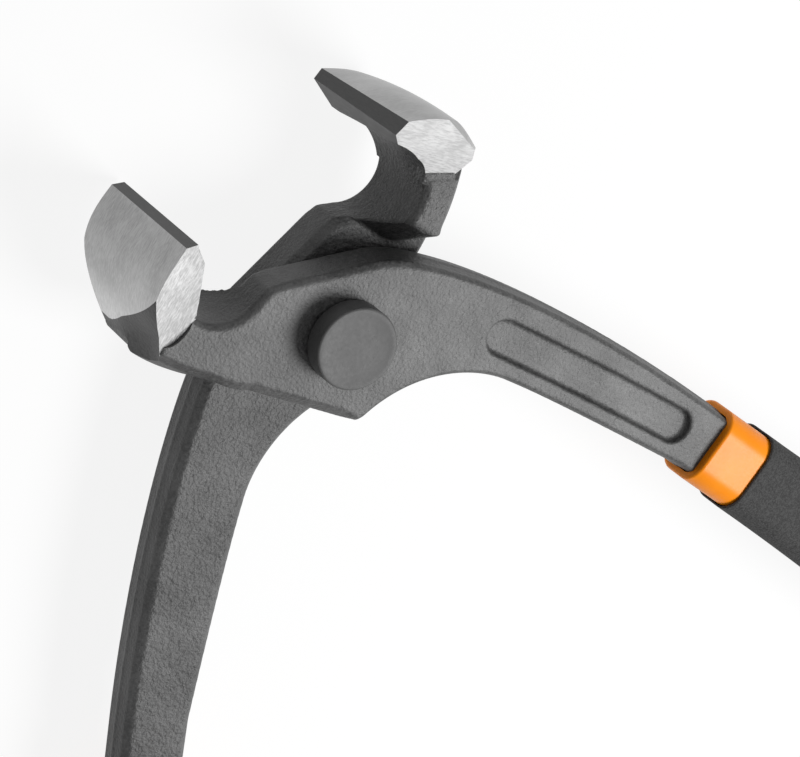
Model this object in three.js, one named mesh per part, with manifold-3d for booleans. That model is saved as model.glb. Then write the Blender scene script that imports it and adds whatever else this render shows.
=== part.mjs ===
import * as THREE from 'three';
import { mergeVertices } from 'three/addons/utils/BufferGeometryUtils.js';
import Module from 'manifold-3d';

// Concreters nippers: two forged levers of one shape, the rear one turned over, on one rivet, with two-layer
// grips. The jaws are ground by hand, so their outer faces differ a little. Millimetres and degrees.
// A lever is drawn closed, in its own frame: the pivot axis is Z, the jaws point to +Y, its jaw lies at -X
// and its handle at +X. Z = 0 is the joint's middle plane: the lever's plate is above it, its lap side below.

const wasm = await Module();
wasm.setup();

// Joint
const openAngle = 58.4;
const lapThickness = 7.15;
const lapPlay = 0.3;
const lapChamfer = 1;
const rivetShankRadius = 4.2;
const rivetHeadRadius = 5.7;
const rivetHeadHeight = 3.5;
const rivetHeadBevel = 0.45;
const rivetPlay = 0.25;

// Jaw: cutting edge, ground faces and the round throat behind them
const edgeReach = 29.3;
const edgeGap = 0.2;
const jawWidth = 24;
const landDepth = 1.15;
const landRise = 1.3;
const jawDepth = 16.4;
const jawBack = 22;
const jawHeel = new THREE.Vector2(0.8, 1.8);
const crownStart = 6;
const crownEnd = 10.2;
const frontCrown = 30.3;
const rearCrown = 31.3;
const jawTwist = 1;
const rearHeelPoint = new THREE.Vector3(-13.7, 25, -8.4);
const rearHeelNormal = new THREE.Vector3(-0.93, -0.25, -0.35);
const plateFacetSlope = 23.2;
const plateFacetLean = 7.5;
const lapFacetSlope = 34.8;
const lapFacetLean = 0;
const throatRadius = 5.95;
const throatX = -2.4;
const throatY = 20.05;
const throatWall = 1.6;

// Lap and neck: bevels of the forging, shoulder between the neck and the lap, hollow beside the neck
const faceBevel = 0.7;
const lapEdgeBevel = 1.35;
const neckBevel = 2.7;
const neckRidge = 1.7;
const neckLapBevel = 3.9;
const neckLapRidge = 2.9;
const neckBlend = 7;
const neckBow = 6;
const neckCap = new THREE.Vector2(4.9, 2.5);
const lapTip = new THREE.Vector2(-8.3, -9.3);
const lapTipBlunt = new THREE.Vector2(-0.6, 2.1);
const lapTipRound = new THREE.Vector2(1, -0.6);
const lapSide = new THREE.Vector2(-12.5, 7);
const lapShoulder = new THREE.Vector2(10.75, 2.5);
const lapShoulderPull = new THREE.Vector2(6.7, -8.5);
const throatLipNear = new THREE.Vector2(2.3, -0.3);
const throatLipFar = new THREE.Vector2(3.8, -1.5);
const shoulderFoot = 14.1;
const shoulderSlope = 32;
const shoulderDraft = 27;
const shoulderLength = 4.6;
const shoulderCorner = 5.5;
const hollowPoint = new THREE.Vector2(-13.8, 22);
const hollowNormal = new THREE.Vector3(-0.903, 0.395, 0.17);

// Handle: from the lap to the grip, then a tang of even width inside the grip
const handleSpread = 15.85;
const handleEndInset = 1.5;
const handleStraight = 58;
const handleWidth = 9.6;
const handleOuterPull = 24;
const handleInnerPull = new THREE.Vector2(-0.8, 8);
const innerBend = new THREE.Vector2(7.3, -26);
const innerBendPull = new THREE.Vector2(1.35, -8);
const innerBendLead = new THREE.Vector2(-0.75, 6);
const lapTipPull = new THREE.Vector2(9.1, -2.3);
const tangWidth = 9.2;
const tangTaper = 16;
const tangReach = 209;
const recessStart = new THREE.Vector2(11.85, -20.5);
const recessBow = new THREE.Vector2(2.2, -16);
const recessEndInset = 0.35;
const recessReach = 53.2;
const recessWidth = 5.3;
const recessDepth = 0.9;
const recessDraft = 0.4;

// Grip: inner sleeve with its collar, outer cover
const gripFit = 0.3;
const collarReach = 60.6;
const rearSetback = 6.5;
const collarWidth = 11.6;
const collarThickness = 9.5;
const coverReach = 69.3;
const coverStep = 0.45;
const collarEase = 4;
const sleeveWall = 0.8;
const palmReach = 140;
const palmWidth = 15.6;
const palmThickness = 13.4;
const gripReach = 218;
const gripEndWidth = 14.4;
const gripEndThickness = 12.4;
const gripCorner = 3.2;
const gripEndRound = 5;
const gripEndTurn = 81;
const gripEndPinch = 0.8;
const mouthRound = 0.8;

const halfLap = lapPlay / 2;
const rivetFace = lapThickness + rivetHeadHeight;
const tangAxis = (halfLap + lapThickness) / 2;
const tangThickness = lapThickness - halfLap;

// Cutting blocks: their size, and how far they run past a face
const blockSize = 5 * jawWidth;
const overcut = 1;

const vec = (x, y) => new THREE.Vector2(x, y);

// Solids from geometry, and back

function solid(geometry) {
  const bare = geometry.clone();
  bare.deleteAttribute('normal');
  bare.deleteAttribute('uv');
  const merged = mergeVertices(bare, 1e-5);
  return new wasm.Manifold(new wasm.Mesh({
    numProp: 3,
    vertProperties: new Float32Array(merged.attributes.position.array),
    triVerts: new Uint32Array(merged.index.array),
  }));
}

function geometryOf(body) {
  const mesh = body.getMesh();
  const geometry = new THREE.BufferGeometry();
  geometry.setAttribute('position', new THREE.BufferAttribute(mesh.vertProperties, 3));
  geometry.setIndex(new THREE.BufferAttribute(mesh.triVerts, 1));
  geometry.computeVertexNormals();
  return geometry;
}

// Closed skin over rings of equally many points; caps are the triangles of the first and last ring
function skin(rings, caps) {
  const count = rings[0].length;
  const position = rings.flat().flatMap((p) => [p.x, p.y, p.z]);
  const index = [];
  for (let k = 0; k + 1 < rings.length; k += 1) {
    for (let i = 0; i < count; i += 1) {
      const a = k * count + i;
      const b = k * count + ((i + 1) % count);
      index.push(a, b, b + count, a, b + count, a + count);
    }
  }
  const last = (rings.length - 1) * count;
  for (const [a, b, c] of caps) {
    index.push(c, b, a, last + a, last + b, last + c);
  }
  const geometry = new THREE.BufferGeometry();
  geometry.setAttribute('position', new THREE.Float32BufferAttribute(position, 3));
  geometry.setIndex(index);
  return solid(geometry);
}

// Outline at several heights: layers hold z and the points of one outline, counterclockwise
function prism(layers) {
  const rings = layers.map(({ z, points }) => points.map((p) => new THREE.Vector3(p.x, p.y, z)));
  return skin(rings, THREE.ShapeUtils.triangulateShape(layers[0].points, []));
}

// Outline moved inwards by a distance that may differ from point to point
function inset(points, distanceAt) {
  const outward = (a, b) => vec(b.y - a.y, a.x - b.x).normalize();
  return points.map((p, i) => {
    const before = outward(points.at(i - 1), p);
    const after = outward(p, points[(i + 1) % points.length]);
    const shift = distanceAt(p) / (1 + before.dot(after));
    return p.clone().addScaledVector(before.add(after), -shift);
  });
}

function bezier(a, b, c, d, steps) {
  return new THREE.CubicBezierCurve(a, b, c, d).getPoints(steps);
}

// Large block whose face passes through a point, square to a normal
function halfSpace(point, normal) {
  const block = new THREE.BoxGeometry(blockSize, blockSize, blockSize).translate(0, 0, blockSize / 2);
  const up = new THREE.Vector3(0, 0, 1);
  const turn = new THREE.Quaternion().setFromUnitVectors(up, normal.clone().normalize());
  return solid(block.applyQuaternion(turn).translate(point.x, point.y, point.z));
}

// Lever outline

const throatSteps = 16;
const plus = (a, b) => a.clone().add(b);

function throatArc(first, last) {
  const points = [];
  for (let k = first; k <= last; k += 1) {
    const angle = -Math.PI / 2 - (Math.PI * k) / throatSteps;
    points.push(vec(throatX + throatRadius * Math.cos(angle), throatY + throatRadius * Math.sin(angle)));
  }
  return points;
}

function spineX(reach) {
  const along = Math.max(0, (reach - collarReach) / (gripReach - collarReach));
  return handleSpread - handleEndInset * along ** 2;
}

// One edge of the tang, from the handle to its end; side is -1 inside and +1 outside
function tangEdge(side) {
  const stations = [handleStraight, handleStraight + tangTaper];
  const steps = 6;
  for (let k = 1; k <= steps; k += 1) {
    stations.push(stations[1] + ((tangReach - stations[1]) * k) / steps);
  }
  return stations.map((reach, k) => {
    const width = k === 0 ? handleWidth : tangWidth;
    return vec(spineX(reach) + (side * width) / 2, -reach);
  });
}

// Points round the lever, counterclockwise; outerEdge holds those along the neck's and lap's outer side
function leverOutline() {
  const inner = tangEdge(-1);
  const outer = tangEdge(1).reverse();
  const handleIn = inner[0];
  const handleOut = outer.at(-1);
  const lapCorner = plus(lapTip, lapTipRound);
  const throatFloor = vec(throatX, throatY - throatRadius);
  const neckEdge = vec(-jawDepth, jawBack);
  const neckBulge = new THREE.QuadraticBezierCurve(neckEdge, vec(neckEdge.x, lapSide.y + neckBow), lapSide);
  const bendLead = plus(innerBend, innerBendLead);
  const bendPull = plus(innerBend, innerBendPull);
  const lapCurve = bezier(lapCorner, plus(lapCorner, lapTipPull), bendLead, innerBend, 10);
  const innerCurve = bezier(innerBend, bendPull, plus(handleIn, handleInnerPull), handleIn, 7);
  const outerPull = vec(handleOut.x, handleOut.y + handleOuterPull);
  const outerCurve = bezier(handleOut, outerPull, plus(lapShoulder, lapShoulderPull), lapShoulder, 14);
  const outerEdge = [...neckBulge.getPoints(5), plus(lapTip, lapTipBlunt)];
  const outline = [
    plus(neckEdge, neckCap),
    ...outerEdge,
    lapTip,
    ...lapCurve,
    ...innerCurve.slice(1),
    ...inner.slice(1),
    ...outer,
    ...outerCurve.slice(1),
    plus(throatFloor, throatLipFar),
    plus(throatFloor, throatLipNear),
    ...throatArc(0, throatSteps / 2 + 1),
  ];
  return { outline, outerEdge };
}

// Lever solid

const shoulderRun = Math.tan(THREE.MathUtils.degToRad(shoulderDraft));

// Region kept below the lap plane: everything forward of the sloping shoulder and its round outer corner
function neckZone() {
  const slope = THREE.MathUtils.degToRad(shoulderSlope);
  const along = vec(Math.cos(slope), Math.sin(slope));
  const square = vec(-along.y, along.x);
  const foot = vec(throatX, shoulderFoot);
  const turn = foot.clone().addScaledVector(along, -shoulderLength);
  const centre = turn.clone().addScaledVector(square, shoulderCorner);
  const steps = 8;
  const corner = [];
  for (let k = steps; k >= 0; k -= 1) {
    const angle = slope - Math.PI / 2 - (k / steps) * (slope + Math.PI / 2);
    corner.push(plus(centre, vec(Math.cos(angle), Math.sin(angle)).multiplyScalar(shoulderCorner)));
  }
  const far = foot.clone().addScaledVector(along, blockSize);
  const outline = [...corner, far, vec(far.x, far.y + blockSize), vec(corner[0].x, far.y + blockSize)];
  const layer = (z) => {
    const shift = square.clone().multiplyScalar((halfLap - z) * shoulderRun);
    return { z, points: outline.map((p) => p.clone().add(shift)) };
  };
  return prism([layer(-lapThickness - overcut), layer(lapThickness + overcut)]);
}

// Plate that the lap and handle are kept to, with a chamfer along its lap side
function lapZone(outline) {
  const ring = (z, distance) => ({ z, points: inset(outline, () => distance) });
  return prism([
    ring(halfLap, lapChamfer),
    ring(halfLap + lapChamfer + lapPlay, -lapPlay),
    ring(lapThickness + overcut, -lapPlay),
  ]);
}

// Jaw profile at one side of the tool, under a ground outer face of a given height
function jawProfile(crown) {
  const edge = vec(-edgeGap / 2, edgeReach);
  const land = vec(edge.x - landDepth, edge.y + landRise);
  const back = vec(-jawDepth, jawBack);
  const floor = back.y - jawHeel.y;
  return [
    edge,
    ...bezier(land, vec(-crownStart, crown), vec(-crownEnd, crown), back, 10),
    vec(back.x + jawHeel.x, floor),
    vec(throatX - throatRadius - throatWall, floor),
    ...throatArc(throatSteps / 2 - 1, throatSteps),
  ];
}

// Jaw with its slanting end facets; the outer face stands higher on the lap side
function jawHead(crown) {
  const blank = prism([
    { z: -jawWidth, points: jawProfile(crown + jawTwist) },
    { z: jawWidth, points: jawProfile(crown - jawTwist) },
  ]);
  const facet = (side, slope, lean) => {
    const point = new THREE.Vector3(0, edgeReach, (side * jawWidth) / 2);
    const tilt = vec(Math.tan(THREE.MathUtils.degToRad(lean)), Math.tan(THREE.MathUtils.degToRad(slope)));
    return halfSpace(point, new THREE.Vector3(-tilt.x, -tilt.y, side));
  };
  return blank
    .subtract(facet(1, plateFacetSlope, plateFacetLean))
    .subtract(facet(-1, lapFacetSlope, lapFacetLean));
}

// Long sunken panel with round ends in the handle's outer face
function recess() {
  const end = vec(handleSpread - recessEndInset, -recessReach);
  const middle = new THREE.QuadraticBezierCurve(recessStart, plus(recessStart, recessBow), end).getPoint(0.5);
  const steps = 8;
  const outlineAt = (radius) => {
    const points = [];
    const arc = (centre, from) => {
      for (let k = 0; k <= steps; k += 1) {
        const angle = from + (Math.PI * k) / steps;
        points.push(vec(centre.x + radius * Math.cos(angle), centre.y + radius * Math.sin(angle)));
      }
    };
    arc(recessStart, 0);
    points.push(vec(middle.x - radius, middle.y));
    arc(end, Math.PI);
    points.push(vec(middle.x + radius, middle.y));
    return points;
  };
  const floor = recessWidth / 2 - recessDraft;
  const wall = (recessDraft * (recessDepth + overcut)) / recessDepth;
  return prism([
    { z: lapThickness - recessDepth, points: outlineAt(floor) },
    { z: lapThickness + overcut, points: outlineAt(floor + wall) },
  ]);
}

function leverSolid(jaw) {
  const { outline, outerEdge } = leverOutline();
  const neckShare = (p) => THREE.MathUtils.smoothstep(p.y, lapSide.y, lapSide.y + neckBlend);
  const ring = (z, face, lapEdge, neck) => {
    const edge = (p) => THREE.MathUtils.lerp(lapEdge, neck, neckShare(p));
    const distance = (p) => (outerEdge.includes(p) ? edge(p) : face);
    return { z, points: inset(outline, distance) };
  };
  const step = lapThickness - lapEdgeBevel;
  const faceStep = lapThickness - faceBevel;
  const between = lapEdgeBevel - faceBevel;
  const body = prism([
    ring(-lapThickness, faceBevel, lapEdgeBevel, neckLapBevel),
    ring(-faceStep, 0, between, neckLapRidge + between),
    ring(-step, 0, 0, neckLapRidge),
    ring(0, 0, 0, 0),
    ring(step, 0, 0, neckRidge),
    ring(faceStep, 0, between, neckRidge + between),
    ring(lapThickness, faceBevel, lapEdgeBevel, neckBevel),
  ]);
  const hollow = halfSpace(new THREE.Vector3(hollowPoint.x, hollowPoint.y, lapThickness), hollowNormal);
  const holeRadius = rivetShankRadius + rivetPlay;
  const hole = new THREE.CylinderGeometry(holeRadius, holeRadius, jawWidth, 40);
  return body.intersect(lapZone(outline).add(neckZone()))
    .add(jaw)
    .subtract(hollow)
    .subtract(solid(hole.rotateX(Math.PI / 2)))
    .subtract(recess());
}

// Grip layers: rounded oblong sections along the handle

function gripSection(reach, width, thickness, corner) {
  const points = [];
  const halves = vec(width / 2 - corner, thickness / 2 - corner);
  const steps = 5;
  for (let quarter = 0; quarter < 4; quarter += 1) {
    const signX = quarter === 0 || quarter === 3 ? 1 : -1;
    const signZ = quarter < 2 ? 1 : -1;
    for (let k = 0; k <= steps; k += 1) {
      const angle = (Math.PI / 2) * (quarter + k / steps);
      const x = spineX(reach) + signX * halves.x + corner * Math.cos(angle);
      const z = tangAxis + signZ * halves.y + corner * Math.sin(angle);
      points.push(new THREE.Vector3(x, -reach, z));
    }
  }
  return points;
}

function gripLoft(sections) {
  const rings = sections.map((s) => gripSection(s.reach, s.width, s.thickness, s.corner ?? gripCorner));
  const caps = [];
  for (let i = 1; i + 1 < rings[0].length; i += 1) {
    caps.push([0, i, i + 1]);
  }
  return skin(rings, caps);
}

// Swelling of the cover from its mouth to the palm and on towards its tail
function swell(from, width, thickness) {
  const steps = 6;
  const sections = [];
  for (let k = 1; k <= steps; k += 1) {
    const share = THREE.MathUtils.smoothstep(k / steps, 0, 1);
    sections.push({
      reach: THREE.MathUtils.lerp(from, palmReach, k / steps),
      width: THREE.MathUtils.lerp(width, palmWidth, share),
      thickness: THREE.MathUtils.lerp(thickness, palmThickness, share),
    });
  }
  for (let k = 1; k < steps; k += 1) {
    const share = THREE.MathUtils.smoothstep(k / steps, 0, 1);
    sections.push({
      reach: THREE.MathUtils.lerp(palmReach, gripReach - gripEndRound, k / steps),
      width: THREE.MathUtils.lerp(palmWidth, gripEndWidth, share),
      thickness: THREE.MathUtils.lerp(palmThickness, gripEndThickness, share),
    });
  }
  return sections;
}

// Rounded tail of the cover
function tail() {
  const steps = 4;
  const turn = THREE.MathUtils.degToRad(gripEndTurn);
  const sections = [];
  for (let k = 0; k <= steps; k += 1) {
    const angle = (turn * k) / steps;
    const shrink = 2 * gripEndRound * gripEndPinch * (1 - Math.cos(angle));
    const thickness = gripEndThickness - shrink;
    sections.push({
      reach: gripReach - gripEndRound * (1 - Math.sin(angle) / Math.sin(turn)),
      width: gripEndWidth - shrink,
      thickness,
      corner: (gripCorner * thickness) / gripEndThickness,
    });
  }
  return sections;
}

const sleeveWidth = tangWidth + 2 * (gripFit + sleeveWall);
const sleeveThickness = tangThickness + 2 * (gripFit + sleeveWall);
const sleeveEnd = tangReach + gripFit + sleeveWall;

function sleeveOuter(setback, extra, collar) {
  const wide = sleeveWidth + 2 * extra;
  const thick = sleeveThickness + 2 * extra;
  const mouth = collarReach + setback;
  const covered = coverReach + setback;
  const collarWide = collarWidth + 2 * extra;
  const collarThick = collarThickness + 2 * extra;
  const front = collar
    ? [
      { reach: mouth, width: collarWide - mouthRound, thickness: collarThick - mouthRound },
      { reach: mouth + mouthRound, width: collarWide, thickness: collarThick },
    ]
    : [{ reach: covered - overcut, width: collarWide, thickness: collarThick }];
  return gripLoft([
    ...front,
    { reach: covered + mouthRound + extra, width: collarWide, thickness: collarThick },
    { reach: covered + collarEase, width: wide, thickness: thick },
    { reach: palmReach, width: wide, thickness: thick },
    { reach: sleeveEnd + extra, width: wide, thickness: thick },
  ]);
}

function sleeveSolid(setback) {
  const loose = 2 * gripFit;
  const thickness = tangThickness + loose;
  const cavity = (reach, width) => ({ reach, width: width + loose, thickness, corner: lapChamfer });
  const bore = gripLoft([
    cavity(handleStraight, handleWidth),
    cavity(handleStraight + tangTaper, tangWidth),
    cavity(palmReach, tangWidth),
    cavity(tangReach + gripFit, tangWidth),
  ]);
  return sleeveOuter(setback, 0, true).subtract(bore);
}

function coverSolid(setback) {
  const mouth = coverReach + setback;
  const mouthWidth = collarWidth + 2 * coverStep;
  const mouthThickness = collarThickness + 2 * coverStep;
  const outer = gripLoft([
    { reach: mouth, width: mouthWidth - mouthRound, thickness: mouthThickness - mouthRound },
    { reach: mouth + mouthRound, width: mouthWidth, thickness: mouthThickness },
    ...swell(mouth + mouthRound, mouthWidth, mouthThickness),
    ...tail(),
  ]);
  return outer.subtract(sleeveOuter(setback, gripFit, false));
}

// Rivet with equal heads on both sides

function rivetGeometry() {
  const seat = lapThickness + rivetPlay;
  const half = [
    vec(rivetShankRadius, seat),
    vec(rivetHeadRadius, seat),
    vec(rivetHeadRadius, rivetFace - rivetHeadBevel),
    vec(rivetHeadRadius - rivetHeadBevel, rivetFace),
    vec(0, rivetFace),
  ];
  const mirrored = half.map((p) => vec(p.x, -p.y)).reverse();
  return new THREE.LatheGeometry([...mirrored, ...half], 48).rotateX(Math.PI / 2);
}

// Assembly: the origin is the middle of the rivet's rear face

const steel = new THREE.MeshStandardMaterial({ color: 0x5c5d5f, roughness: 0.55, metalness: 0.6 });
const rivetSteel = new THREE.MeshStandardMaterial({ color: 0x55575a, roughness: 0.5, metalness: 0.6 });
const orange = new THREE.MeshStandardMaterial({ color: 0xf59a23, roughness: 0.3, metalness: 0 });
const darkRubber = new THREE.MeshStandardMaterial({ color: 0x47484a, roughness: 0.85, metalness: 0 });

function part(name, geometry, material) {
  const mesh = new THREE.Mesh(geometry, material);
  mesh.name = name;
  return mesh;
}

function halfTool(side, lever, setback) {
  const half = new THREE.Group();
  half.add(part(`${side}_lever`, geometryOf(lever), steel));
  half.add(part(`${side}_grip_sleeve`, geometryOf(sleeveSolid(setback)), orange));
  half.add(part(`${side}_grip_cover`, geometryOf(coverSolid(setback)), darkRubber));
  return half;
}

const halfOpen = THREE.MathUtils.degToRad(openAngle / 2);
const front = halfTool('front', leverSolid(jawHead(frontCrown)), 0);
front.rotation.z = halfOpen;
const rearJaw = jawHead(rearCrown).subtract(halfSpace(rearHeelPoint, rearHeelNormal));
const rear = halfTool('rear', leverSolid(rearJaw), rearSetback);
rear.rotation.set(0, Math.PI, halfOpen);

const nippers = new THREE.Group();
nippers.position.z = rivetFace;
nippers.add(front, rear, part('pivot_rivet', mergeVertices(rivetGeometry()), rivetSteel));

export default nippers;
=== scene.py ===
import math
import bmesh
import bpy
import numpy as np
from mathutils import Matrix, Vector


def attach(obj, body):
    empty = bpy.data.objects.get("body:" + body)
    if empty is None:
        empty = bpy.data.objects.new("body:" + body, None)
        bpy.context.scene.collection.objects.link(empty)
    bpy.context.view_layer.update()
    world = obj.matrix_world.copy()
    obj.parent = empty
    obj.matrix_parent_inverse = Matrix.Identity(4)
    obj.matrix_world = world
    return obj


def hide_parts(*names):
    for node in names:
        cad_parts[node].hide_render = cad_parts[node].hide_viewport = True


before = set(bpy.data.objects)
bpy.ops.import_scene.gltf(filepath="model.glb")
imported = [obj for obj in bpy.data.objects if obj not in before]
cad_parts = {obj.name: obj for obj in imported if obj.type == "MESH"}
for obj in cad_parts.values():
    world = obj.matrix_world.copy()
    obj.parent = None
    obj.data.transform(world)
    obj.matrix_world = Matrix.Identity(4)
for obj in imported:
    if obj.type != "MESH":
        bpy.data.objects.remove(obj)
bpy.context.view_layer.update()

# Nippers: millimetres in a lever's own frame. The pivot axis is Z, the jaws point to +Y, the lever's jaw lies
# at -X and its handle at +X, and Z = 0 is the joint's middle plane.

MM = 0.001
OPEN_ANGLE = 58.4
RIVET_FACE = 10.65
LAP = 7.15
LAP_PLAY = 0.3
HALF_LAP = LAP_PLAY / 2
LAP_CHAMFER = 1.0

# Jaw. Ends: the land's top corner and the outer face's height, at the lap side and at the plate side.
ENDS = {
    "front": [((-1.25, 30.6), 31.3), ((-1.25, 30.6), 29.3)],
    "rear": [((-0.6, 31.9), 33.7), ((-1.47, 30.17), 29.84)],
}
BARREL = {"front": 0.0, "rear": 0.8}
EDGE = (-0.1, 29.3)
JAW_BACK = (-16.4, 22.0)
JAW_HEEL = (2.6, 1.3)
CROWN_START = 6.0
CROWN_END = 10.2
JAW_HALF = 12.0
TWIST_REACH = 24.0
CROWN_STEPS = 48
THROAT_STEPS = 32
FILL_STEPS = 24
PLATE_FACET = (23.2, 7.5)
LAP_FACET = (34.8, 0.0)
THROAT = (-2.4, 20.05)
THROAT_R = 5.95
THROAT_WALL = 1.6
FILL_EDGE = (-0.25, 29.2)
FILL_TOP = (-1.69, 26.0)
FILL_FOOT = (-7.81, 20.7)
FILL_DEPTHS = (2.5, 8.0, 14.0)
FILL_HALF_MIX = 0.35
FILL_INSIDE = [(-10.5, 20.6), (-9.5, 24.0), (-6.0, 27.5), (-2.4, 28.6)]
TIP_LEFT, TIP_RIGHT, TIP_TOP, TIP_DEPTH = -30.0, 20.0, 45.0, 30.0
FACET_TIP = [(-13.9, 24.6), (-14.3, 21.3), (-13.0, 20.1), (-9.8, 20.2)]
FLARE = [(0.6, 28.5), (-3.6, 27.2), (-6.6, 25.2)]
FLARE_DEPTHS = (-14.0, 8.0)
FLARE_OPEN = (6.0, 28.5)
BURR_X = (-12.2, -7.6)
BURR = [(23.6, 0.6), (23.0, 0.1), (22.5, 0.4), (21.8, 0.3), (21.0, -0.1)]
SMILE = [(-15.3, 23.45, -5.2), (-13.6, 25.7, 0.5), (-11.6, 27.1, 8.0), (-8.2, 29.1, 11.2)]
SMILE_ENDS = [(-17.7, 21.9), (-17.0, 18.2)]
SMILE_SAG = 0.45
SMILE_MIDDLE = 0.4
SMILE_TURN = (-1.0, 6.0)
SMILE_OUT = (-6.4, 4.8)
RAW_MARGIN = 0.15
FRONT_END = -12.05
HEELS = [((-12.84, 26.68, -10.18), (-0.69, 0.52, -0.5)), ((-12.84, 26.68, -10.18), (-0.8, -0.08, -0.5)),
         ((-13.4, 24.9, -8.95), (-0.58, -0.64, -0.5))]

# Lap, neck and handle
FACE_BEVEL = 0.7
LAP_EDGE_BEVEL = 1.35
NECK_BEVEL = 2.7
NECK_RIDGE = 1.7
NECK_LAP_BEVEL = 4.3
NECK_LAP_RIDGE = 3.3
NECK_BLEND = 7.0
NECK_TOP = (-17.1, 22.8)
NECK_BULGES = {"front": (-17.5, 14.3), "rear": (-16.5, 14.3)}
NECK_WIDEST = {"front": -2.8, "rear": -1.0}
NECK_CAP = (5.2, 1.5)
LAP_TIP = (-8.3, -9.3)
LAP_TIP_BLUNT = (-0.6, 2.1)
LAP_TIP_ROUND = (1.0, -0.6)
LAP_SIDE = (-12.5, 7.0)
LAP_SHOULDER = (10.75, 2.5)
SHOULDER_PULL = (6.7, -8.5)
LIP_NEAR = (2.3, -0.3)
LIP_FAR = (3.8, -1.5)
LIP_PULL = (3.0, -3.9)
SHOULDER_FOOT = 14.1
SHOULDER_SLOPE = 32.0
SHOULDER_DRAFT = 27.0
SHOULDER_LENGTH = 4.6
SHOULDER_CORNER = 5.5
HANDLE_SPREAD = 15.85
HANDLE_END_INSET = 1.5
HANDLE_STRAIGHT = 58.0
HANDLE_WIDTH = 9.6
OUTER_PULL = 24.0
INNER_PULL = (-0.8, 8.0)
INNER_BEND = (7.3, -26.0)
BEND_PULL = (1.35, -8.0)
BEND_LEAD = (-0.75, 6.0)
LAP_TIP_PULL = (9.1, -2.3)
TANG_WIDTH = 9.2
TANG_TAPER = 16.0
TANG_REACH = 209.0
TANG_AXIS = (HALF_LAP + LAP) / 2
TANG_THICK = LAP - HALF_LAP
RECESS_START = (11.85, -20.5)
RECESS_BOW = (2.2, -16.0)
RECESS_END = (HANDLE_SPREAD - 0.35, -53.2)
RECESS_WIDTH = 5.3
RECESS_DEPTH = 1.1
RECESS_DRAFT = 0.3
PARTING_Z = 3.65
PARTING_RIDGE = 0.14
PARTING_RINGS = [(-0.35, 0, 0.45), (-0.2, 1, 0.48), (0.2, 1, 0.55), (0.35, 0, 0.6)]
WALL_DRAFT = 0.22
FORGED_END = 76.0
TANG_OVERLAP = 4.0

# Grip
GRIP_FIT = 0.3
COLLAR_REACH = 60.6
REAR_SETBACK = 6.5
COLLAR_W = 11.6
COLLAR_T = 9.5
COVER_REACH = 69.3
COVER_STEP = 0.45
COLLAR_EASE = 4.0
SLEEVE_WALL = 0.8
PALM_REACH = 140.0
PALM_W = 15.6
PALM_T = 13.4
GRIP_REACH = 218.0
GRIP_END_W = 14.4
GRIP_END_T = 12.4
GRIP_CORNER = 3.2
COVER_CORNER = GRIP_CORNER + 0.2
GRIP_END_ROUND = 5.0
GRIP_END_TURN = 81.0
GRIP_END_PINCH = 0.8
MOUTH_ROUND = 0.8
MOUTH_FIT = 0.05
MOUTH_CORNER = 1.6
SLEEVE_LIP = MOUTH_ROUND * 0.7
COVER_LIP = COVER_STEP * 0.6
LIP_CORNER_SHARE = 0.6
ROUND_STEPS = 6

# Rivet
SHANK_R = 4.2
HEAD_R = 5.7
RIVET_PLAY = 0.25
HEAD_BEVEL = 0.32
SEAT_BEVEL = 0.15
DISH = [(4.9, 0.0), (4.7, 0.04), (2.5, 0.02)]
RIVET_SIDES = 96
BORE_SIDES = 72
BORE_HALF = 12.0

VOXEL = 0.22
SMOOTH_STEPS = 5
FAR = 60.0
SHARP_STEEL = 35.0
SHARP_MOULDING = 40.0


def rad(angle):
    return math.radians(angle)


def arr(*points):
    return np.array(points, float)


def add(a, b):
    return (a[0] + b[0], a[1] + b[1])


def bezier(points, steps):
    t = np.linspace(0, 1, steps + 1)[:, None]
    p = np.array(points, float)
    if len(p) == 3:
        return p[0] * (1 - t) ** 2 + 2 * p[1] * t * (1 - t) + p[2] * t ** 2
    return p[0] * (1 - t) ** 3 + 3 * p[1] * t * (1 - t) ** 2 + 3 * p[2] * t ** 2 * (1 - t) + p[3] * t ** 3


def smoothstep(value, low, high):
    t = np.clip((value - low) / (high - low), 0, 1)
    return t * t * (3 - 2 * t)


# Meshes and cuts

FORGED, GROUND, FACET, LAND_FACE = range(4)
steels = []


def new_object(name, verts, faces, kinds=None):
    """Mesh object; kinds gives the steel finish of each face, or of all of them."""
    mesh = bpy.data.meshes.new(name)
    mesh.from_pydata([tuple(v) for v in verts], [], faces)
    if kinds is not None:
        for steel in steels:
            mesh.materials.append(steel)
        mesh.polygons.foreach_set("material_index", np.broadcast_to(kinds, len(faces)).astype(np.int32))
    bm = bmesh.new()
    bm.from_mesh(mesh)
    bmesh.ops.recalc_face_normals(bm, faces=bm.faces)
    bm.to_mesh(mesh)
    bm.free()
    obj = bpy.data.objects.new(name, mesh)
    bpy.context.scene.collection.objects.link(obj)
    return obj


def loft(name, rings, kinds=None):
    """Closed skin over rings of equally many points, with flat ends."""
    count = len(rings[0])
    verts = np.concatenate(rings)
    faces = []
    for k in range(len(rings) - 1):
        for i in range(count):
            a, b = k * count + i, k * count + (i + 1) % count
            faces.append((a, b, b + count, a + count))
    last = (len(rings) - 1) * count
    faces.append(tuple(reversed(range(count))))
    faces.append(tuple(last + i for i in range(count)))
    if kinds is not None and np.ndim(kinds):
        kinds = list(kinds) * (len(rings) - 1) + [FORGED, FORGED]
    return new_object(name, verts, faces, kinds)


def prism(name, layers, kinds=FORGED):
    """Loft over flat outlines, each with its height."""
    return loft(name, [np.column_stack([pts, np.full(len(pts), z)]) for z, pts in layers], kinds)


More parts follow.
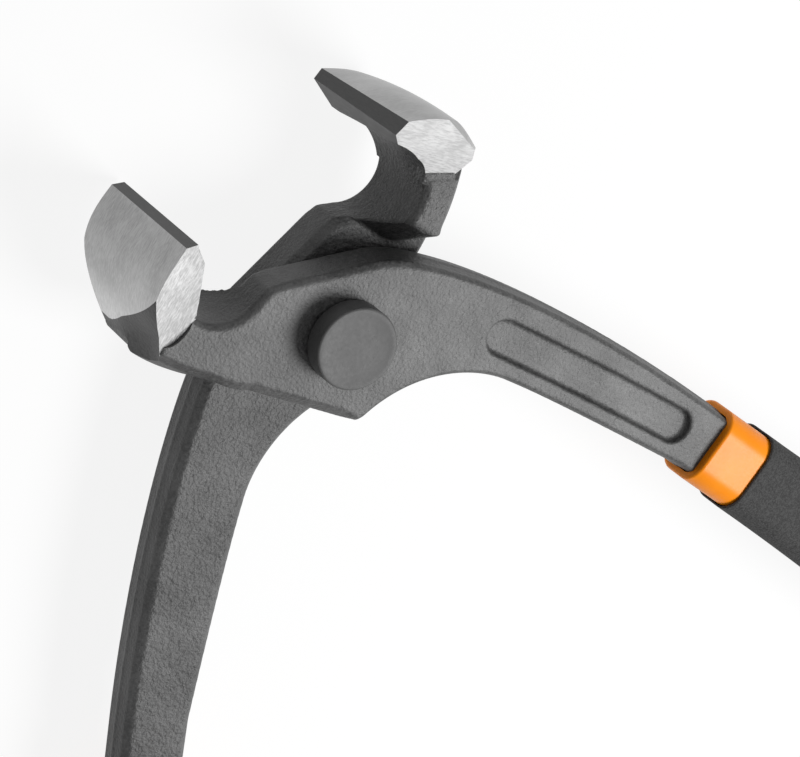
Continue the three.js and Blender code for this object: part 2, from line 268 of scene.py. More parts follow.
def bake(obj):
    """Apply the object's modifiers."""
    bpy.context.view_layer.update()
    graph = bpy.context.evaluated_depsgraph_get()
    mesh = bpy.data.meshes.new_from_object(obj.evaluated_get(graph))
    old = obj.data
    obj.modifiers.clear()
    obj.data = mesh
    bpy.data.meshes.remove(old)
    return obj


def combine(obj, tool, operation):
    """Boolean with a tool, which is used up."""
    mod = obj.modifiers.new("combine", "BOOLEAN")
    mod.operation = operation
    mod.solver = "MANIFOLD"
    mod.object = tool
    bake(obj)
    mesh = tool.data
    bpy.data.objects.remove(tool)
    bpy.data.meshes.remove(mesh)
    return obj


def half_space(point, normal, kind=FORGED):
    """Large block whose face passes through a point, square to a normal."""
    size = FAR
    square = ((-size, -size), (size, -size), (size, size), (-size, size))
    corners = [(x, y, z) for z in (0, 2 * size) for x, y in square]
    turn = Vector((0, 0, 1)).rotation_difference(Vector(normal).normalized()).to_matrix()
    verts = [turn @ Vector(c) + Vector(point) for c in corners]
    faces = [(3, 2, 1, 0), (4, 5, 6, 7), (0, 1, 5, 4), (1, 2, 6, 5), (2, 3, 7, 6), (3, 0, 4, 7)]
    return new_object("block", verts, faces, kind)


def inset(points, distance):
    """Outline moved inwards by a distance per point."""
    before = points - np.roll(points, 1, 0)
    after = np.roll(points, -1, 0) - points
    out = []
    for step in (before, after):
        n = np.column_stack([step[:, 1], -step[:, 0]])
        out.append(n / np.linalg.norm(n, axis=1)[:, None])
    total = out[0] + out[1]
    shift = distance / (1 + (out[0] * out[1]).sum(1))
    return points - total * shift[:, None]


# Lever

def spine_x(reach):
    """Middle line of the handle and grip at a distance behind the pivot."""
    along = max(0.0, (reach - COLLAR_REACH) / (GRIP_REACH - COLLAR_REACH))
    return HANDLE_SPREAD - HANDLE_END_INSET * along ** 2


def throat_arc(first, last, steps):
    """Part of the throat's round, by shares of a half turn from its floor."""
    angle = -math.pi / 2 - math.pi * np.linspace(first, last, steps + 1)
    return np.column_stack([THROAT[0] + THROAT_R * np.cos(angle), THROAT[1] + THROAT_R * np.sin(angle)])


def lever_outline(side):
    """Points round the forging up to where the grip hides it, and which of them lie on the neck's outer edge."""
    corner = add(LAP_TIP, LAP_TIP_ROUND)
    handle_in = (spine_x(HANDLE_STRAIGHT) - HANDLE_WIDTH / 2, -HANDLE_STRAIGHT)
    handle_out = (spine_x(HANDLE_STRAIGHT) + HANDLE_WIDTH / 2, -HANDLE_STRAIGHT)
    end_x = spine_x(FORGED_END)
    floor = (THROAT[0], THROAT[1] - THROAT_R)
    neck = bezier([NECK_TOP, NECK_BULGES[side], LAP_SIDE], 24)
    blunt = add(LAP_TIP, LAP_TIP_BLUNT)
    lap_side = np.linspace(LAP_SIDE, blunt, 12)[1:]
    lap_curve = bezier([corner, add(corner, LAP_TIP_PULL), add(INNER_BEND, BEND_LEAD), INNER_BEND], 40)
    inner = bezier([INNER_BEND, add(INNER_BEND, BEND_PULL), add(handle_in, INNER_PULL), handle_in], 24)
    outer = bezier(
        [handle_out, add(handle_out, (0, OUTER_PULL)), add(LAP_SHOULDER, SHOULDER_PULL), LAP_SHOULDER], 60)
    lip_far = add(floor, LIP_FAR)
    lip = bezier([LAP_SHOULDER, add(lip_far, LIP_PULL), lip_far], 8)
    groups = [
        (arr(add(NECK_TOP, NECK_CAP)), False), (neck, True), (lap_side, True), (arr(LAP_TIP), False),
        (lap_curve, False), (inner[1:], False),
        (arr((end_x - TANG_WIDTH / 2, -FORGED_END), (end_x + TANG_WIDTH / 2, -FORGED_END)), False),
        (outer, False), (arr(lip_far, add(floor, LIP_NEAR)), False), (throat_arc(0, 9 / 16, 27), False),
    ]
    points = np.concatenate([g for g, _ in groups])
    edge = np.concatenate([np.full(len(g), flag) for g, flag in groups])
    return points, edge


def neck_zone():
    """What is kept below the lap plane: everything forward of the sloping shoulder and its round corner."""
    slope = rad(SHOULDER_SLOPE)
    along = np.array([math.cos(slope), math.sin(slope)])
    square = np.array([-along[1], along[0]])
    foot = np.array([THROAT[0], SHOULDER_FOOT])
    centre = foot - along * SHOULDER_LENGTH + square * SHOULDER_CORNER
    angle = slope - math.pi / 2 - np.linspace(1, 0, 19) * (slope + math.pi / 2)
    corner = centre + SHOULDER_CORNER * np.column_stack([np.cos(angle), np.sin(angle)])
    far = foot + along * FAR
    outline = np.concatenate([corner, arr(far, (far[0], far[1] + FAR), (corner[0][0], far[1] + FAR))])
    layers = []
    for z in (-LAP - 1, LAP + 1):
        layers.append((z, outline + square * (HALF_LAP - z) * math.tan(rad(SHOULDER_DRAFT))))
    return prism("neck_zone", layers)


def lap_zone(outline):
    """What is kept above the lap plane, with a chamfer along it."""
    def ring(z, distance):
        return z, inset(outline, np.full(len(outline), distance))
    return prism("lap_zone", [
        ring(HALF_LAP, LAP_CHAMFER), ring(HALF_LAP + LAP_CHAMFER + LAP_PLAY, -LAP_PLAY), ring(LAP + 1, -LAP_PLAY)])


def jaw_profile(land, crown):
    """Jaw's section and the finish of each of its sides."""
    floor = JAW_BACK[1] - JAW_HEEL[1]
    face = bezier([land, (-CROWN_START, crown), (-CROWN_END, crown), JAW_BACK], CROWN_STEPS)
    arc = throat_arc(0.515, 1, THROAT_STEPS)
    points = np.concatenate([
        arr(EDGE), face, arr((JAW_BACK[0] + JAW_HEEL[0], floor)),
        arr((THROAT[0] - THROAT_R - THROAT_WALL, floor)), arc])
    kinds = [LAND_FACE] + [GROUND] * CROWN_STEPS + [FORGED] * (3 + THROAT_STEPS) + [LAND_FACE]
    return points, kinds


def facet_plane(side, slope, lean):
    """Plane of an end facet; side is 1 at the plate and -1 at the lap."""
    point = np.array([0, EDGE[1], side * JAW_HALF])
    normal = np.array([-math.tan(rad(lean)), -math.tan(rad(slope)), side])
    return point, normal / np.linalg.norm(normal)


FACETS = [facet_plane(1, *PLATE_FACET), facet_plane(-1, *LAP_FACET)]


def throat_fill():
    """Wall that closes the round throat towards the plate-side facet."""
    share = np.linspace(0, 1, FILL_STEPS + 1)[:, None]
    straight = np.concatenate([arr(FILL_EDGE), arr(FILL_TOP) * (1 - share) + arr(FILL_FOOT) * share])
    arc = np.concatenate([arr(FILL_EDGE), throat_arc(1, 0.53, FILL_STEPS)])
    inside = arr(*FILL_INSIDE)
    low, high, top = FILL_DEPTHS
    layers = []
    for z, mix in ((low, 0.0), ((low + high) / 2, FILL_HALF_MIX), (high, 1.0), (top, 1.0)):
        layers.append((z, np.concatenate([arc * (1 - mix) + straight * mix, inside])[::-1]))
    kinds = [FORGED] * (len(inside) + FILL_STEPS) + [LAND_FACE, FORGED]
    return prism("throat_fill", layers, kinds)


def throat_flare():
    """Cut that widens the throat evenly towards the lap-side facet."""
    arc = throat_arc(1, 0.5, FILL_STEPS)
    wide = bezier(FLARE + [(THROAT[0] - THROAT_R, THROAT[1])], FILL_STEPS)
    inside = arr((0, THROAT[1]), (FLARE_OPEN[0], THROAT[1]), FLARE_OPEN)
    layers = []
    for z, line in zip(FLARE_DEPTHS, (wide, arc)):
        layers.append((z, np.concatenate([line, inside])))
    return prism("throat_flare", layers)


def jaw_head(side):
    """Jaw with its ground faces; the two levers' jaws are ground differently."""
    (lap_land, lap_crown), (plate_land, plate_crown) = ENDS[side]
    layers = []
    for share in np.linspace(0, 1, 25):
        z = TWIST_REACH * (2 * share - 1)
        land = arr(lap_land)[0] * (1 - share) + arr(plate_land)[0] * share
        bulge = BARREL[side] * (1 - (z / JAW_HALF) ** 2)
        crown = lap_crown * (1 - share) + plate_crown * share + bulge
        points, kinds = jaw_profile(land, crown)
        layers.append((z, points))
    jaw = prism("jaw", layers, kinds)
    if side == "rear":
        combine(jaw, throat_flare(), "DIFFERENCE")
    else:
        combine(jaw, throat_fill(), "UNION")
    for point, normal in FACETS:
        combine(jaw, half_space(point, normal, FACET), "DIFFERENCE")
    if side == "rear":
        for point, normal in HEELS:
            combine(jaw, half_space(point, normal, GROUND), "DIFFERENCE")
    else:
        combine(jaw, half_space((0, 0, FRONT_END), (0, 0, -1), FACET), "DIFFERENCE")
    return jaw


def facet_tip():
    """Round end of the plate-side facet, ground into the neck's face."""
    tip = bezier(FACET_TIP, 24)
    outline = np.concatenate([tip, arr(
        FILL_FOOT, (TIP_RIGHT, FILL_FOOT[1]), (TIP_RIGHT, TIP_TOP), (TIP_LEFT, TIP_TOP), (TIP_LEFT, tip[0][1]))])
    tool = prism("facet_tip", [(0, outline), (TIP_DEPTH, outline)])
    return combine(tool, half_space(*FACETS[0], FACET), "INTERSECT")


def hollow(side):
    """Raw forged side of the neck, a little lower than the ground outer face above it."""
    rings = []
    line = bezier(SMILE, 16)
    if side == "front":
        line = np.concatenate([arr((*SMILE[0][:2], FRONT_END - 1)), line])
    near, far = arr(*SMILE_ENDS)
    out = np.array(SMILE_OUT)
    for x, y, z in line:
        start = np.array([x, y])
        end = near + (far - near) * smoothstep(z, *SMILE_TURN)
        run = end - start
        inward = np.array([-run[1], run[0]]) / np.linalg.norm(run)
        middle = start + SMILE_MIDDLE * run + SMILE_SAG * inward
        outline = np.array([start + out, start, middle, end, end + out])
        rings.append(np.column_stack([outline, np.full(len(outline), z)]))
    return loft("hollow", rings, FORGED)


def leave_raw(mesh):
    """The heel below the hollow isn't ground."""
    for face in mesh.polygons:
        if face.center.x < SMILE[0][0] and face.center.y < SMILE[0][1] - RAW_MARGIN:
            face.material_index = FORGED


def burr():
    """Rough bead left along the lap-side facet."""
    top = [(y, -LAP - rise) for y, rise in BURR]
    profile = arr(*top, (BURR[-1][0], -LAP + 2), (BURR[0][0], -LAP + 2))
    rings = [np.column_stack([np.full(len(profile), x), profile]) for x in BURR_X]
    return loft("burr", rings, FORGED)


def recess():
    """Long hollow in the handle's face."""
    def outline(radius):
        turn = np.linspace(0, math.pi, 17)
        circle = radius * np.column_stack([np.cos(turn), np.sin(turn)])
        line = bezier([RECESS_START, add(RECESS_START, RECESS_BOW), RECESS_END], 16)[1:-1]
        left = line + arr((-radius, 0))
        right = line[::-1] + arr((radius, 0))
        return np.concatenate([arr(RECESS_START) + circle, left, arr(RECESS_END) - circle, right])
    floor = RECESS_WIDTH / 2 - RECESS_DRAFT
    wall = RECESS_DRAFT * (RECESS_DEPTH + 1) / RECESS_DEPTH
    return prism("recess", [(LAP - RECESS_DEPTH, outline(floor)), (LAP + 1, outline(floor + wall))])


def forging(side):
    """Neck, lap and handle with their edges worn round."""
    outline, edge = lever_outline(side)
    share = smoothstep(outline[:, 1], LAP_SIDE[1], LAP_SIDE[1] + NECK_BLEND)

    def ring(z, face, lap_edge, neck):
        return z, inset(outline, np.where(edge, lap_edge + (neck - lap_edge) * share, face))
    on_handle = smoothstep(-outline[:, 1], 0, 6)
    ridge = PARTING_RIDGE * on_handle
    draft = WALL_DRAFT * on_handle
    step = LAP - LAP_EDGE_BEVEL
    face_step = LAP - FACE_BEVEL
    between = LAP_EDGE_BEVEL - FACE_BEVEL
    body = prism("forging", [
        ring(-LAP, FACE_BEVEL, LAP_EDGE_BEVEL, NECK_LAP_BEVEL),
        ring(-face_step, 0, between, NECK_LAP_RIDGE + between),
        ring(-step, 0, 0, NECK_LAP_RIDGE),
        ring(NECK_WIDEST[side], 0, 0, 0),
        ring(0, draft / 2, 0, 0),
        *[ring(PARTING_Z + dz, -ridge * rise, 0, NECK_RIDGE * neck) for dz, rise, neck in PARTING_RINGS],
        ring(step, draft, 0, NECK_RIDGE),
        ring(face_step, draft, between, NECK_RIDGE + between),
        ring(LAP, FACE_BEVEL, LAP_EDGE_BEVEL, NECK_BEVEL),
    ])
    zone = combine(lap_zone(outline), neck_zone(), "UNION")
    combine(body, zone, "INTERSECT")
    combine(body, recess(), "DIFFERENCE")
    combine(body, burr(), "UNION")
    remesh = body.modifiers.new("remesh", "REMESH")
    remesh.mode = "VOXEL"
    remesh.voxel_size = VOXEL
    bake(body)
    soften = body.modifiers.new("soften", "SMOOTH")
    soften.factor = 0.5
    soften.iterations = SMOOTH_STEPS
    return bake(body)


def tang():
    """Plain end of the handle inside the grip."""
    rings = []
    half = TANG_THICK / 2
    w = TANG_WIDTH / 2
    c = LAP_CHAMFER
    corners = [(w - c, -half), (w, -half + c), (w, half - c), (w - c, half),
               (-w + c, half), (-w, half - c), (-w, -half + c), (-w + c, -half)]
    for reach in np.linspace(FORGED_END - TANG_OVERLAP, TANG_REACH, 16):
        x = spine_x(reach)
        rings.append(arr(*[(x + dx, -reach, TANG_AXIS + dz) for dx, dz in corners]))
    return loft("tang", rings, FORGED)


def disc(radius, low, high, sides):
    turn = np.linspace(0, 2 * math.pi, sides, endpoint=False)
    circle = radius * np.column_stack([np.cos(turn), np.sin(turn)])
    return prism("disc", [(low, circle), (high, circle)])


def mark_edges(mesh, angle):
    """Smooth shading, with sharp edges above an angle and between finishes."""
    bm = bmesh.new()
    bm.from_mesh(mesh)
    for face in bm.faces:
        face.smooth = True
    for e in bm.edges:
        faces = e.link_faces
        apart = len(faces) == 2 and faces[0].material_index != faces[1].material_index
        e.smooth = not (apart or e.calc_face_angle(0) > angle)
    bm.to_mesh(mesh)
    bm.free()


def keep_own(mesh):
    """Own-frame millimetres on every point, for the materials."""
    co = np.empty(len(mesh.vertices) * 3, np.float32)
    mesh.vertices.foreach_get("co", co)
    layer = mesh.attributes.new("own", "FLOAT_VECTOR", "POINT")
    layer.data.foreach_set("vector", co)


def place(obj, name, side):
    """From a lever's own frame to the tool's frame, in metres."""
    keep_own(obj.data)
    turn = Matrix.Rotation(rad(OPEN_ANGLE / 2), 4, "Z")
    if side == "rear":
        turn = Matrix.Rotation(math.pi, 4, "Y") @ turn
    move = Matrix.Translation((0, 0, RIVET_FACE))
    obj.data.transform(Matrix.Scale(MM, 4) @ move @ turn)
    obj.name = name
    obj.data.name = name
    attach(obj, side + "_half")
    return obj


def lever(side):
    body = forging(side)
    combine(body, tang(), "UNION")
    combine(body, jaw_head(side), "UNION")
    combine(body, facet_tip(), "DIFFERENCE")
    combine(body, hollow(side), "DIFFERENCE")
    if side == "front":
        leave_raw(body.data)
    combine(body, disc(SHANK_R + RIVET_PLAY, -BORE_HALF, BORE_HALF, BORE_SIDES), "DIFFERENCE")
    mark_edges(body.data, rad(SHARP_STEEL))
    place(body, side + "_lever_forging", side)
    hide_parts(side + "_lever")
    return body


# Grips

def section(reach, width, thick, corner):
    """Rounded rectangle across the grip."""
    steps = 12
    points = []
    for quarter in range(4):
        sx = 1 if quarter in (0, 3) else -1
        sz = 1 if quarter < 2 else -1
        for k in range(steps + 1):
            angle = math.pi / 2 * (quarter + k / steps)
            x = spine_x(reach) + sx * (width / 2 - corner) + corner * math.cos(angle)
            z = TANG_AXIS + sz * (thick / 2 - corner) + corner * math.sin(angle)
            points.append((x, -reach, z))
    return arr(*points)


def lip(mouth, width, thick, radius, corner):
    """Quarter-round lip at a mouth, from its front edge out to the full section."""
    rings = []
    for k in range(ROUND_STEPS + 1):
        a = math.pi / 2 * k / ROUND_STEPS
        back = radius * (1 - math.cos(a))
        drop = radius * (1 - math.sin(a))
        rings.append(section(mouth + back, width - 2 * drop, thick - 2 * drop, corner - drop * LIP_CORNER_SHARE))
    return rings


SLEEVE_W = TANG_WIDTH + 2 * (GRIP_FIT + SLEEVE_WALL)
SLEEVE_T = TANG_THICK + 2 * (GRIP_FIT + SLEEVE_WALL)
SLEEVE_END = TANG_REACH + GRIP_FIT + SLEEVE_WALL


def sleeve(side, setback, material):
    """Orange inner layer: its bore from the end to the mouth, then its outside."""
    mouth = COLLAR_REACH + setback
    covered = COVER_REACH + setback
    loose = 2 * GRIP_FIT
    bore = []
    for reach in (TANG_REACH + GRIP_FIT, PALM_REACH, HANDLE_STRAIGHT + TANG_TAPER, mouth):
        share = max(0.0, 1 - (reach - HANDLE_STRAIGHT) / TANG_TAPER)
        width = TANG_WIDTH + share * (HANDLE_WIDTH - TANG_WIDTH)
        bore.append(section(reach, width + loose, TANG_THICK + loose, LAP_CHAMFER))
    bore[-1] = section(mouth, width + MOUTH_FIT, TANG_THICK + MOUTH_FIT, MOUTH_CORNER)
    outer = lip(mouth, COLLAR_W, COLLAR_T, SLEEVE_LIP, GRIP_CORNER)
    outer.append(section(covered + MOUTH_ROUND, COLLAR_W, COLLAR_T, GRIP_CORNER))
    for reach in np.linspace(covered + COLLAR_EASE, SLEEVE_END, 14):
        outer.append(section(reach, SLEEVE_W, SLEEVE_T, GRIP_CORNER))
    obj = loft("sleeve", bore + outer)
    obj.data.materials.append(material)
    mark_edges(obj.data, rad(SHARP_MOULDING))
    place(obj, side + "_sleeve_moulding", side)
    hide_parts(side + "_grip_sleeve")
    return obj


def cover(side, setback, material):
    """Dark outer layer: its bore, then the outside that swells to the palm and rounds off at the end."""
    mouth = COVER_REACH + setback
    width = COLLAR_W + 2 * COVER_STEP
    thick = COLLAR_T + 2 * COVER_STEP
    bore = []
    fit = 2 * GRIP_FIT
    for reach in np.linspace(SLEEVE_END + GRIP_FIT, mouth + COLLAR_EASE, 12):
        bore.append(section(reach, SLEEVE_W + fit, SLEEVE_T + fit, GRIP_CORNER))
    for reach in (mouth + MOUTH_ROUND + GRIP_FIT, mouth):
        bore.append(section(reach, COLLAR_W + fit, COLLAR_T + fit, GRIP_CORNER))
    outer = lip(mouth, width, thick, COVER_LIP, COVER_CORNER)
    start = mouth + MOUTH_ROUND
    for share in np.linspace(0, 1, 22):
        s = float(smoothstep(share, 0, 1))
        outer.append(section(start + (PALM_REACH - start) * share, width + (PALM_W - width) * s,
                             thick + (PALM_T - thick) * s, COVER_CORNER))
    end = GRIP_REACH - GRIP_END_ROUND
    for share in np.linspace(0, 1, 16)[1:-1]:
        s = float(smoothstep(share, 0, 1))
        outer.append(section(PALM_REACH + (end - PALM_REACH) * share, PALM_W + (GRIP_END_W - PALM_W) * s,
                             PALM_T + (GRIP_END_T - PALM_T) * s, COVER_CORNER))
    turn = rad(GRIP_END_TURN)
    for angle in np.linspace(0, turn, 12):
        shrink = 2 * GRIP_END_ROUND * GRIP_END_PINCH * (1 - math.cos(angle))
        share = (GRIP_END_T - shrink) / GRIP_END_T
        outer.append(section(GRIP_REACH - GRIP_END_ROUND * (1 - math.sin(angle) / math.sin(turn)),
                             GRIP_END_W - shrink, GRIP_END_T - shrink, COVER_CORNER * share))
    obj = loft("cover", bore + outer)
    obj.data.materials.append(material)
    mark_edges(obj.data, rad(SHARP_MOULDING))
    place(obj, side + "_cover_moulding", side)
    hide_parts(side + "_grip_cover")
    return obj


def rivet(material):
    """Solid rivet, turned about its axis: shank and two flat heads with a faint dish."""
    seat = LAP + RIVET_PLAY
    face = RIVET_FACE
    rim = []
    for k in range(ROUND_STEPS + 1):
        a = math.pi / 2 * k / ROUND_STEPS
        rim.append((HEAD_R - HEAD_BEVEL * (1 - math.cos(a)), face - HEAD_BEVEL * (1 - math.sin(a))))
    half = [(SHANK_R, seat), (HEAD_R - SEAT_BEVEL, seat), (HEAD_R, seat + SEAT_BEVEL)] + rim
    half += [(r, face - depth) for r, depth in DISH]
    profile = [(r, -z) for r, z in reversed(half)] + half
    turn = np.linspace(0, 2 * math.pi, RIVET_SIDES, endpoint=False)
    rings = [np.column_stack([r * np.cos(turn), r * np.sin(turn), np.full(RIVET_SIDES, z)]) for r, z in profile]
    obj = loft("rivet", rings)
    obj.data.materials.append(material)
    mark_edges(obj.data, rad(SHARP_MOULDING))
    keep_own(obj.data)
    obj.data.transform(Matrix.Scale(MM, 4) @ Matrix.Translation((0, 0, RIVET_FACE)))
    obj.name = "rivet_turned"
    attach(obj, "rear_half")
    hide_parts("pivot_rivet")
    return obj


# Materials. Tones are linear greys, lengths are millimetres.

GREY_STOPS = (0.41, 0.59)
ROUGH_STOPS = (0.3, 0.7)
GRAIN_DEPTH = {"front": 0.12, "rear": 0.24}
FORGED_TONES = (0.042, 0.096)
# Painted shade on the shoulder's wall inside the joint: the forged tone is multiplied by this, fading out over
# these distances from the wall.
WALL_PAINTED_SHADE = 0.16
WALL_PAINTED_SHADE_SPAN = (0.3, 0.9)
GROUND_TONES = (0.4, 0.58)
# Painted light: the outer ground face is lightened towards the neck and darkened towards the cutting edge, for how
# the light falls across it.
GROUND_PAINTED_LIGHT = ((0, 1, 0), 24.0, 30.5, 1.14, 0.68)
FACET_TONES = (0.55, 0.76)
# Painted reflection: the facets are lightened on the lap side and darkened on the plate side, for the brighter and
# dimmer reflections they show.
FACET_PAINTED_LIGHT = ((0, 0, 1), -4.0, 4.0, 1.2, 0.74)
LAND_TONES = (0.035, 0.055)
RIVET_TONES = (0.075, 0.09)
RUBBER_TONES = (0.024, 0.07)
ORANGES = ((0.88, 0.25, 0.003), (0.94, 0.28, 0.005))


class Nodes:
    """Material with one principled shader, whose textures follow the own-frame points."""

    def __init__(self, name):
        self.material = bpy.data.materials.new(name)
        self.material.use_nodes = True
        self.tree = self.material.node_tree
        self.tree.nodes.clear()
        self.out = self.new("ShaderNodeOutputMaterial")
        self.shader = self.new("ShaderNodeBsdfPrincipled")
        self.tree.links.new(self.shader.outputs[0], self.out.inputs["Surface"])
        own = self.new("ShaderNodeAttribute")
        own.attribute_name = "own"
        self.own = own.outputs["Vector"]

    def new(self, kind):
        return self.tree.nodes.new(kind)

    def link(self, a, b):
        self.tree.links.new(a, b)

    def set(self, **values):
        for key, value in values.items():
            self.shader.inputs[key.replace("_", " ")].default_value = value

    def noise(self, scale, detail=3.0, rough=0.5, stretch=(1, 1, 1), turn=(0, 0, 0)):
        mapping = self.new("ShaderNodeMapping")
        mapping.vector_type = "TEXTURE"
        mapping.inputs["Scale"].default_value = [1 / k for k in stretch]
        mapping.inputs["Rotation"].default_value = [rad(t) for t in turn]
        self.link(self.own, mapping.inputs["Vector"])
        node = self.new("ShaderNodeTexNoise")
        node.inputs["Scale"].default_value = scale
        node.inputs["Detail"].default_value = detail
        node.inputs["Roughness"].default_value = rough
        self.link(mapping.outputs[0], node.inputs["Vector"])
        return node.outputs["Fac"]

    def ramp(self, value, stops):
        node = self.new("ShaderNodeValToRGB")
        ramp = node.color_ramp
        while len(ramp.elements) < len(stops):
            ramp.elements.new(0.5)
        for element, (pos, color) in zip(ramp.elements, stops):
            element.position = pos
            element.color = (*color, 1) if len(color) == 3 else (color[0],) * 3 + (1,)
        self.link(value, node.inputs[0])
        return node.outputs[0]

    def math(self, operation, a, b):
        node = self.new("ShaderNodeMath")
        node.operation = operation
        for socket, value in zip(node.inputs, (a, b)):
            if isinstance(value, (int, float)):
                socket.default_value = value
            else:
                self.link(value, socket)
        return node.outputs[0]

    def axis(self, direction, low, high, first, last):
        """Value that goes from first to last between two distances along a direction."""
        dot = self.new("ShaderNodeVectorMath")
        dot.operation = "DOT_PRODUCT"
        dot.inputs[1].default_value = direction
        self.link(self.own, dot.inputs[0])
        span = self.new("ShaderNodeMapRange")
        for name, value in (("From Min", low), ("From Max", high), ("To Min", first), ("To Max", last)):
            span.inputs[name].default_value = value
        self.link(dot.outputs["Value"], span.inputs["Value"])
        return span.outputs[0]

    def shade(self, color, value):
        node = self.new("ShaderNodeMix")
        node.data_type = "RGBA"
        node.blend_type = "MULTIPLY"
        node.inputs["Factor"].default_value = 1
        self.link(color, node.inputs[6])
        self.link(value, node.inputs[7])
        return node.outputs[2]

    def bump(self, height, strength, distance):
        node = self.new("ShaderNodeBump")
        node.inputs["Strength"].default_value = strength
        node.inputs["Distance"].default_value = distance * MM
        self.link(height, node.inputs["Height"])
        self.link(node.outputs[0], self.shader.inputs["Normal"])

    def color(self, socket):
        self.link(socket, self.shader.inputs["Base Color"])

    def roughness(self, value, low, high):
        socket = self.ramp(value, [(ROUGH_STOPS[0], (low,)), (ROUGH_STOPS[1], (high,))])
        self.link(socket, self.shader.inputs["Roughness"])

    def blend(self, a, b, share):
        """Weighted sum of two values; share is the first one's weight."""
        return self.math("ADD", self.math("MULTIPLY", a, share), self.math("MULTIPLY", b, 1 - share))


def grey(low, high):
    """Ramp stops between two greys."""
    return [(GREY_STOPS[0], (low,)), (GREY_STOPS[1], (high,))]


def forged_steel(side):
    """Sandblasted forging, with painted shade darkening the shoulder's wall inside the joint."""
    n = Nodes(side + "_forged_steel")
    n.set(Metallic=0.15, IOR=1.45)
    grain = n.noise(1.7, 4, 0.62)
    patch = n.noise(0.12, 3, 0.55)
    color = n.ramp(n.blend(grain, patch, 0.6), grey(*FORGED_TONES))
    # Painted shade: below the lap plane, the shoulder's wall and the forging next to it are darkened, where the
    # other lever's lap shades them.
    slope = rad(SHOULDER_SLOPE)
    draft = math.tan(rad(SHOULDER_DRAFT))
    wall = Vector((-math.sin(slope), math.cos(slope), draft)).normalized()
    foot = wall.dot(Vector((THROAT[0], SHOULDER_FOOT, HALF_LAP)))
    inner = n.axis(wall, foot + WALL_PAINTED_SHADE_SPAN[0], foot + WALL_PAINTED_SHADE_SPAN[1], WALL_PAINTED_SHADE, 1.0)
    above = n.axis((0, 0, 1), -0.5, 0.0, 0.0, 1.0)
    n.color(n.shade(color, n.math("MAXIMUM", inner, above)))
    n.roughness(grain, 0.42, 0.6)
    pebble = n.noise(2.2, 3, 0.55)
    n.bump(n.math("ADD", pebble, n.math("MULTIPLY", n.noise(0.5, 2, 0.5), 0.8)), 1.0, GRAIN_DEPTH[side])
    return n.material


def ground(name, stretch, turn, tones, painted_light_fade):
    """Steel with grinding lines; the last argument paints light and shade, lightening and darkening the tone along
    the piece.
    """
    n = Nodes(name)
    n.set(Metallic=1.0, Anisotropic=0.4)
    lines = n.noise(1.0, 5, 0.65, stretch, turn)
    cloud = n.noise(0.2, 2, 0.5)
    color = n.ramp(n.blend(lines, cloud, 0.75), grey(*tones))
    # Painted light and shade: the tone is raised and lowered along the piece.
    n.color(n.shade(color, n.axis(*painted_light_fade)))
    n.roughness(lines, 0.3, 0.42)
    n.bump(lines, 0.3, 0.03)
    return n.material


def ground_steel():
    return ground("ground_steel", (1.0, 1.0, 7.0), (14, 0, 0), GROUND_TONES, GROUND_PAINTED_LIGHT)


def facet_steel():
    return ground("facet_steel", (0.5, 4.0, 4.0), (0, 0, 18), FACET_TONES, FACET_PAINTED_LIGHT)


def land_steel():
    n = Nodes("edge_land_steel")
    n.set(Metallic=0.3)
    lines = n.noise(1.2, 4, 0.6, (2.0, 2.0, 0.4))
    n.color(n.ramp(lines, grey(*LAND_TONES)))
    n.roughness(lines, 0.42, 0.55)
    n.bump(lines, 0.2, 0.03)
    return n.material


def rivet_steel():
    n = Nodes("rivet_satin_steel")
    n.set(Metallic=0.05, Specular_IOR_Level=0.3)
    grain = n.noise(2.4, 4, 0.6)
    n.color(n.ramp(n.blend(grain, n.noise(0.3, 2), 0.5), grey(*RIVET_TONES)))
    n.roughness(grain, 0.5, 0.62)
    n.bump(grain, 0.25, 0.03)
    return n.material


def orange_plastic():
    n = Nodes("orange_plastic_moulded")
    n.set(IOR=1.5, Specular_IOR_Level=0.2)
    grain = n.noise(3.0, 3, 0.5)
    cloud = n.noise(0.25, 2, 0.5)
    n.color(n.ramp(cloud, [(0.3, ORANGES[0]), (0.7, ORANGES[1])]))
    n.roughness(grain, 0.32, 0.4)
    n.bump(grain, 0.08, 0.02)
    return n.material


def dark_rubber():
    n = Nodes("dark_rubber_sanded")
    n.set(IOR=1.45, Specular_IOR_Level=0.22)
    grain = n.noise(3.2, 3, 0.6)
    fine = n.noise(6.5, 2, 0.5)
    mix = n.blend(grain, fine, 0.6)
    n.color(n.ramp(mix, grey(*RUBBER_TONES)))
    n.roughness(grain, 0.7, 0.88)
    n.bump(mix, 0.9, 0.12)
    return n.material


# Pieces

steels += [None, ground_steel(), facet_steel(), land_steel()]
orange = orange_plastic()
rubber = dark_rubber()
for side in ("front", "rear"):
    steels[FORGED] = forged_steel(side)
    lever(side)
rivet(rivet_steel())
for side, setback in (("front", 0.0), ("rear", REAR_SETBACK)):
    sleeve(side, setback, orange)
    cover(side, setback, rubber)

# Stage: floor, light and camera, in metres

FLOOR_Z = -2.32 * MM
FLOOR_HALF = 3.0
FLOOR_TONE = (0.95, 0.95, 0.95, 1)
FLOOR_GLOW = (0.0, 0.88)
WORLD_LEVELS = (0.17, 1.0)
KEY_DIRECTION = Vector((0.22, -0.5, 0.84))
KEY_DISTANCE = 0.55
KEY_SHIFT = Vector((0.11, -0.03, 0))
KEY_SIZE = 0.3
KEY_POWER = 4.0
SENSOR = 36.0
LENS = 144.86
CAMERA = Matrix((
    (0.8398787, 0.4863466, -0.2409789, -0.0966821),
    (-0.3060623, 0.7910187, 0.5297314, 0.2140115),
    (0.4482519, -0.3711555, 0.8132121, 0.3605828),
    (0, 0, 0, 1)))


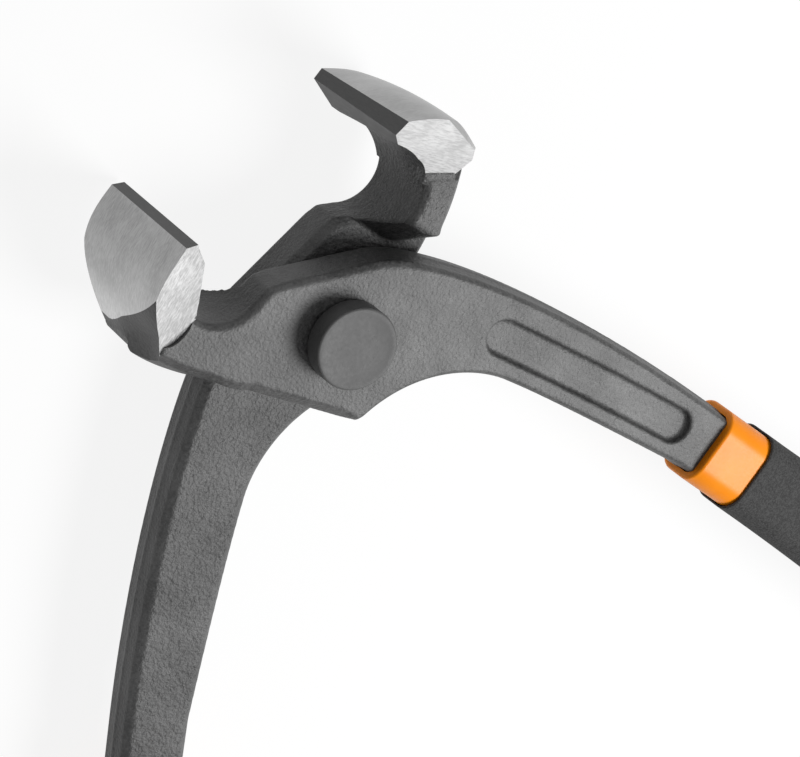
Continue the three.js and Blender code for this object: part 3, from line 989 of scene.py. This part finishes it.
def seen_white(tree, levels):
    """Second level for camera, glossy and transmission rays, first level for the rest."""
    path = tree.nodes.new("ShaderNodeLightPath")
    most = path.outputs["Is Camera Ray"]
    for name in ("Is Glossy Ray", "Is Transmission Ray"):
        node = tree.nodes.new("ShaderNodeMath")
        node.operation = "MAXIMUM"
        tree.links.new(most, node.inputs[0])
        tree.links.new(path.outputs[name], node.inputs[1])
        most = node.outputs[0]
    scale = tree.nodes.new("ShaderNodeMapRange")
    scale.inputs["To Min"].default_value = levels[0]
    scale.inputs["To Max"].default_value = levels[1]
    tree.links.new(most, scale.inputs["Value"])
    return scale.outputs[0]


def stage_floor():
    corners = [(x * FLOOR_HALF, y * FLOOR_HALF, FLOOR_Z) for x, y in ((-1, -1), (1, -1), (1, 1), (-1, 1))]
    floor = new_object("floor", corners, [(0, 1, 2, 3)])
    material = bpy.data.materials.new("floor_white")
    material.use_nodes = True
    tree = material.node_tree
    tree.nodes.clear()
    out = tree.nodes.new("ShaderNodeOutputMaterial")
    mix = tree.nodes.new("ShaderNodeMixShader")
    matt = tree.nodes.new("ShaderNodeBsdfDiffuse")
    matt.inputs["Color"].default_value = FLOOR_TONE
    glow = tree.nodes.new("ShaderNodeEmission")
    tree.links.new(seen_white(tree, FLOOR_GLOW), mix.inputs[0])
    tree.links.new(matt.outputs[0], mix.inputs[1])
    tree.links.new(glow.outputs[0], mix.inputs[2])
    tree.links.new(mix.outputs[0], out.inputs["Surface"])
    floor.data.materials.append(material)


def world_light():
    world = bpy.data.worlds.new("studio")
    bpy.context.scene.world = world
    world.use_nodes = True
    tree = world.node_tree
    tree.nodes.clear()
    out = tree.nodes.new("ShaderNodeOutputWorld")
    back = tree.nodes.new("ShaderNodeBackground")
    back.inputs["Color"].default_value = (1, 1, 1, 1)
    tree.links.new(seen_white(tree, WORLD_LEVELS), back.inputs["Strength"])
    tree.links.new(back.outputs[0], out.inputs["Surface"])


def key_light():
    lamp = bpy.data.lights.new("softbox", "AREA")
    lamp.shape = "DISK"
    lamp.size = KEY_SIZE
    lamp.energy = KEY_POWER
    obj = bpy.data.objects.new("softbox", lamp)
    bpy.context.scene.collection.objects.link(obj)
    obj.location = KEY_DIRECTION.normalized() * KEY_DISTANCE + KEY_SHIFT
    obj.rotation_euler = KEY_DIRECTION.to_track_quat("Z", "Y").to_euler()


def photo_camera():
    data = bpy.data.cameras.new("camera")
    data.sensor_width = SENSOR
    data.lens = LENS
    data.clip_start = 0.01
    obj = bpy.data.objects.new("camera", data)
    bpy.context.scene.collection.objects.link(obj)
    obj.matrix_world = CAMERA
    bpy.context.scene.camera = obj


stage_floor()
world_light()
key_light()
photo_camera()
bpy.context.scene.view_settings.view_transform = "Standard"
